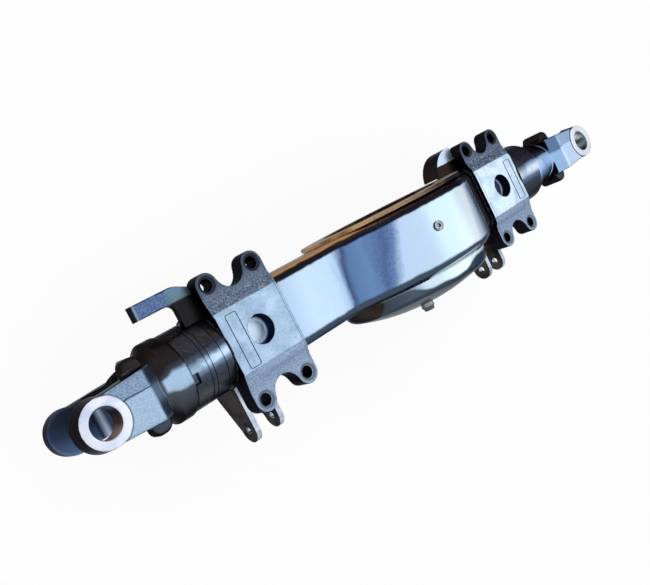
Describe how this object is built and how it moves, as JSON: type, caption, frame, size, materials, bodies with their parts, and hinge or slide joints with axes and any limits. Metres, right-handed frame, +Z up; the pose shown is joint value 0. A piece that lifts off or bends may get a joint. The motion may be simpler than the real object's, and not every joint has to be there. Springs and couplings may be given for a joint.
{
  "type": "axle housing",
  "caption": "Steering drive axle housing: hollow banjo beam with a carrier opening, domed rear cover, spring seats, damper lugs, and forked ends with kingpin bores.",
  "frame": {"origin": "midway between the two spring seats' centre holes, level with the pad faces", "axes": "+X along the axle to its far end, +Y to the side where the carrier goes in, +Z up out of the spring pads"},
  "size_m": [1.655, 0.365, 0.4379],
  "materials": {
    "gloss_black_paint": "thick gloss black paint on pressed and welded steel",
    "painted_casting": "thin black paint over rough cast steel, pad face milled",
    "painted_forging": "black paint over forged steel, bores and bosses machined bright",
    "machined_steel": "turned steel face",
    "plated_plug": "plated steel, dull"
  },
  "bodies": {
    "root": {"upper_housing_shell": "gloss_black_paint", "lower_housing_shell": "gloss_black_paint", "near_front_filler": "gloss_black_paint", "near_rear_filler": "gloss_black_paint", "far_front_filler": "gloss_black_paint", "far_rear_filler": "gloss_black_paint", "carrier_flange_ring": "machined_steel", "rear_cover": "gloss_black_paint", "near_spring_seat": "painted_casting", "far_spring_seat": "painted_casting", "near_axle_tube": "gloss_black_paint", "far_axle_tube": "gloss_black_paint", "near_steering_yoke": "painted_forging", "far_steering_yoke": "painted_forging", "near_outer_lug": "gloss_black_paint", "near_inner_lug": "gloss_black_paint", "far_outer_lug": "gloss_black_paint", "far_inner_lug": "gloss_black_paint", "clip_bar": "painted_forging", "stop_bracket": "painted_forging", "filler_plug": "plated_plug", "drain_plug": "plated_plug", "breather_plug": "plated_plug"}
  },
  "joints": []
}
